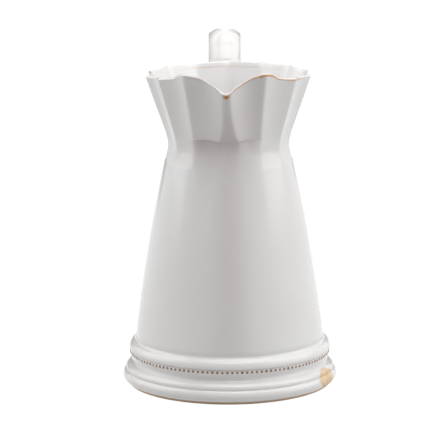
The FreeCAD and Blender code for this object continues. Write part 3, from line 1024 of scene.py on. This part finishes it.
def clay_material():
    """Matt tan earthenware with a little grit."""
    material, graph = new_material("clay_finish")
    look = finish()
    place = graph.object_place()
    patch = graph.noise(place, 60.0, 4.0)
    grit = graph.noise(place, 900.0, 3.0)
    base = graph.mix(((patch - 0.4) * 2.0).clamp() * 0.45, look.clay, look.tan)
    base = graph.mix(((grit - 0.6) * 4.0).clamp() * 0.3, base, look.brown)
    graph.surface(Base_Color=base, Roughness=0.85 - 0.1 * patch, Normal=graph.bump(grit, 0.12 * MM, 0.7))
    return material


def seen_straight(graph):
    """1 for what the camera sees directly, in a mirror or through glass."""
    path = graph.node("ShaderNodeLightPath")
    camera = Value(graph, path.outputs["Is Camera Ray"])
    glossy = Value(graph, path.outputs["Is Glossy Ray"])
    clear = Value(graph, path.outputs["Is Transmission Ray"])
    return camera.math("MAXIMUM", glossy).math("MAXIMUM", clear)


def build_card(name, turn, width):
    """A dark upright card behind the pitcher that only its gloss shows, so that pale edges stand out."""
    height, far = 1.2, 1.3
    bm = bmesh.new()
    place = Matrix.Rotation(-turn, 4, "Z") @ Matrix.Translation((0, far, height / 2))
    place = place @ Matrix.Rotation(math.pi / 2, 4, "X") @ Matrix.Diagonal((width / 2, height / 2, 1, 1))
    bmesh.ops.create_grid(bm, x_segments=1, y_segments=1, size=1.0, matrix=place)
    card = mesh_object(name, bm)
    material, graph = new_material(name + "_face")
    graph.output(graph.node("ShaderNodeBsdfDiffuse", {}, (0.04, 0.04, 0.04, 1.0)))
    card.data.materials.append(material)
    for kind in ("camera", "diffuse", "shadow", "transmission", "volume_scatter"):
        setattr(card, "visible_" + kind, False)


def build_floor():
    """A plain pale floor that the camera and the gloss see as white, with the pitcher's shadow."""
    bm = bmesh.new()
    bmesh.ops.create_grid(bm, x_segments=1, y_segments=1, size=6.0)
    floor = mesh_object("floor", bm)
    material, graph = new_material("floor_white")
    plain = graph.node("ShaderNodeBsdfDiffuse", {}, (0.6, 0.6, 0.6, 1.0))
    glow = graph.node("ShaderNodeEmission", {}, (1.0, 1.0, 1.0, 1.0), 1.12)
    seen = seen_straight(graph) * 0.9
    graph.output(graph.node("ShaderNodeMixShader", {}, seen, plain.outputs[0], glow.outputs[0]))
    floor.data.materials.append(material)


def build_room():
    """Soft light from all round, from a room that is itself seen as white."""
    world = bpy.data.worlds.new("room")
    world.use_nodes = True
    bpy.context.scene.world = world
    graph = Graph(world.node_tree)
    room_light = studio().room_light
    strength = room_light + seen_straight(graph) * (1.0 - room_light)
    sky = graph.node("ShaderNodeBackground", {}, (1.0, 1.0, 1.0, 1.0), strength)
    graph.node("ShaderNodeOutputWorld", {}, sky.outputs[0])


def build_lamps():
    """Soft lamps at both sides, above and high in front."""
    settings = studio()
    centre = Vector((0, 0, STRAP_TOP / 2))
    for name, place, width, height, power in (
            ("light_left", (-1.0, 0.16, 0.78), 1.1, 1.3, settings.side_power),
            ("light_right", (1.0, -0.1, 0.78), 1.0, 1.3, settings.side_power * 1.04),
            ("light_top", (0.08, -0.05, 1.2), 1.0, 0.7, settings.top_power),
            ("light_front", (0.22, -0.5, 1.2), 0.7, 0.25, settings.front_power)):
        lamp = bpy.data.lights.new(name, "AREA")
        lamp.shape = "RECTANGLE"
        lamp.size = width
        lamp.size_y = height
        lamp.energy = power
        light = bpy.data.objects.new(name, lamp)
        light.location = place
        light.rotation_euler = (centre - Vector(place)).to_track_quat("-Z", "Y").to_euler()
        bpy.context.scene.collection.objects.link(light)


def build_camera():
    """A long lens from a little above."""
    settings = studio()
    scene = bpy.context.scene
    data = bpy.data.cameras.new("camera")
    data.sensor_width = 36
    data.lens = settings.camera_lens
    data.clip_start, data.clip_end = 0.05, 50
    camera = bpy.data.objects.new("camera", data)
    place = Vector(settings.camera_place)
    aim = (Vector(settings.camera_aim) - place).to_track_quat("-Z", "Y").to_matrix().to_4x4()
    roll = Matrix.Rotation(math.radians(settings.camera_roll), 4, "Z")
    camera.matrix_world = Matrix.Translation(place) @ aim @ roll
    scene.collection.objects.link(camera)
    scene.camera = camera
    scene.view_settings.view_transform = "Standard"


def build_stage():
    """The floor, the dark cards, the room, the lamps and the camera."""
    build_floor()
    build_card("card_left", math.radians(-21), 0.7)
    build_card("card_right", math.radians(17), 0.45)
    build_room()
    build_lamps()
    build_camera()


class PITCHER_OT_vessel(bpy.types.Operator):
    """Build the glazed wall, fluted collar and pouring lip"""
    bl_idname = "pitcher.vessel"
    bl_label = "Vessel"

    def execute(self, context):
        build_vessel()
        return {"FINISHED"}


class PITCHER_OT_mouldings(bpy.types.Operator):
    """Build the glazed rings of the foot"""
    bl_idname = "pitcher.mouldings"
    bl_label = "Foot mouldings"

    def execute(self, context):
        build_mouldings()
        return {"FINISHED"}


class PITCHER_OT_beads(bpy.types.Operator):
    """Build the string of beads"""
    bl_idname = "pitcher.beads"
    bl_label = "Bead string"

    def execute(self, context):
        build_beads()
        return {"FINISHED"}


class PITCHER_OT_foot_ring(bpy.types.Operator):
    """Build the bare clay ring and finish the floor's underside"""
    bl_idname = "pitcher.foot_ring"
    bl_label = "Foot ring"

    def execute(self, context):
        build_foot_ring()
        return {"FINISHED"}


class PITCHER_OT_handle(bpy.types.Operator):
    """Build the strap handle with its joins"""
    bl_idname = "pitcher.handle"
    bl_label = "Handle"

    def execute(self, context):
        build_handle()
        return {"FINISHED"}


class PITCHER_OT_stage(bpy.types.Operator):
    """Set up the floor, the light and the camera"""
    bl_idname = "pitcher.stage"
    bl_label = "Stage"

    def execute(self, context):
        build_stage()
        return {"FINISHED"}


class PITCHER_PT_panel(bpy.types.Panel):
    """Lists the pitcher's pieces and sizes"""
    bl_label = "Glazed pitcher"
    bl_idname = "PITCHER_PT_panel"
    bl_space_type = "VIEW_3D"
    bl_region_type = "UI"
    bl_category = "Pitcher"

    def draw(self, context):
        for operator in OPERATORS:
            self.layout.operator(operator.bl_idname)
        for group in (sizes(), finish(), studio()):
            for name in group.__annotations__:
                self.layout.prop(group, name)


OPERATORS = (PITCHER_OT_vessel, PITCHER_OT_mouldings, PITCHER_OT_beads, PITCHER_OT_foot_ring,
             PITCHER_OT_handle, PITCHER_OT_stage)
CLASSES = (PitcherSizes, PitcherFinish, StudioSettings, *OPERATORS, PITCHER_PT_panel)


def register():
    for item in CLASSES:
        bpy.utils.register_class(item)
    bpy.types.Scene.pitcher_sizes = PointerProperty(type=PitcherSizes)
    bpy.types.Scene.pitcher_finish = PointerProperty(type=PitcherFinish)
    bpy.types.Scene.pitcher_studio = PointerProperty(type=StudioSettings)


def unregister():
    del bpy.types.Scene.pitcher_studio
    del bpy.types.Scene.pitcher_finish
    del bpy.types.Scene.pitcher_sizes
    for item in reversed(CLASSES):
        bpy.utils.unregister_class(item)


def main():
    register()
    bpy.ops.pitcher.stage()
    bpy.ops.pitcher.vessel()
    bpy.ops.pitcher.mouldings()
    bpy.ops.pitcher.beads()
    bpy.ops.pitcher.foot_ring()
    bpy.ops.pitcher.handle()


if __name__ == "__main__":
    main()
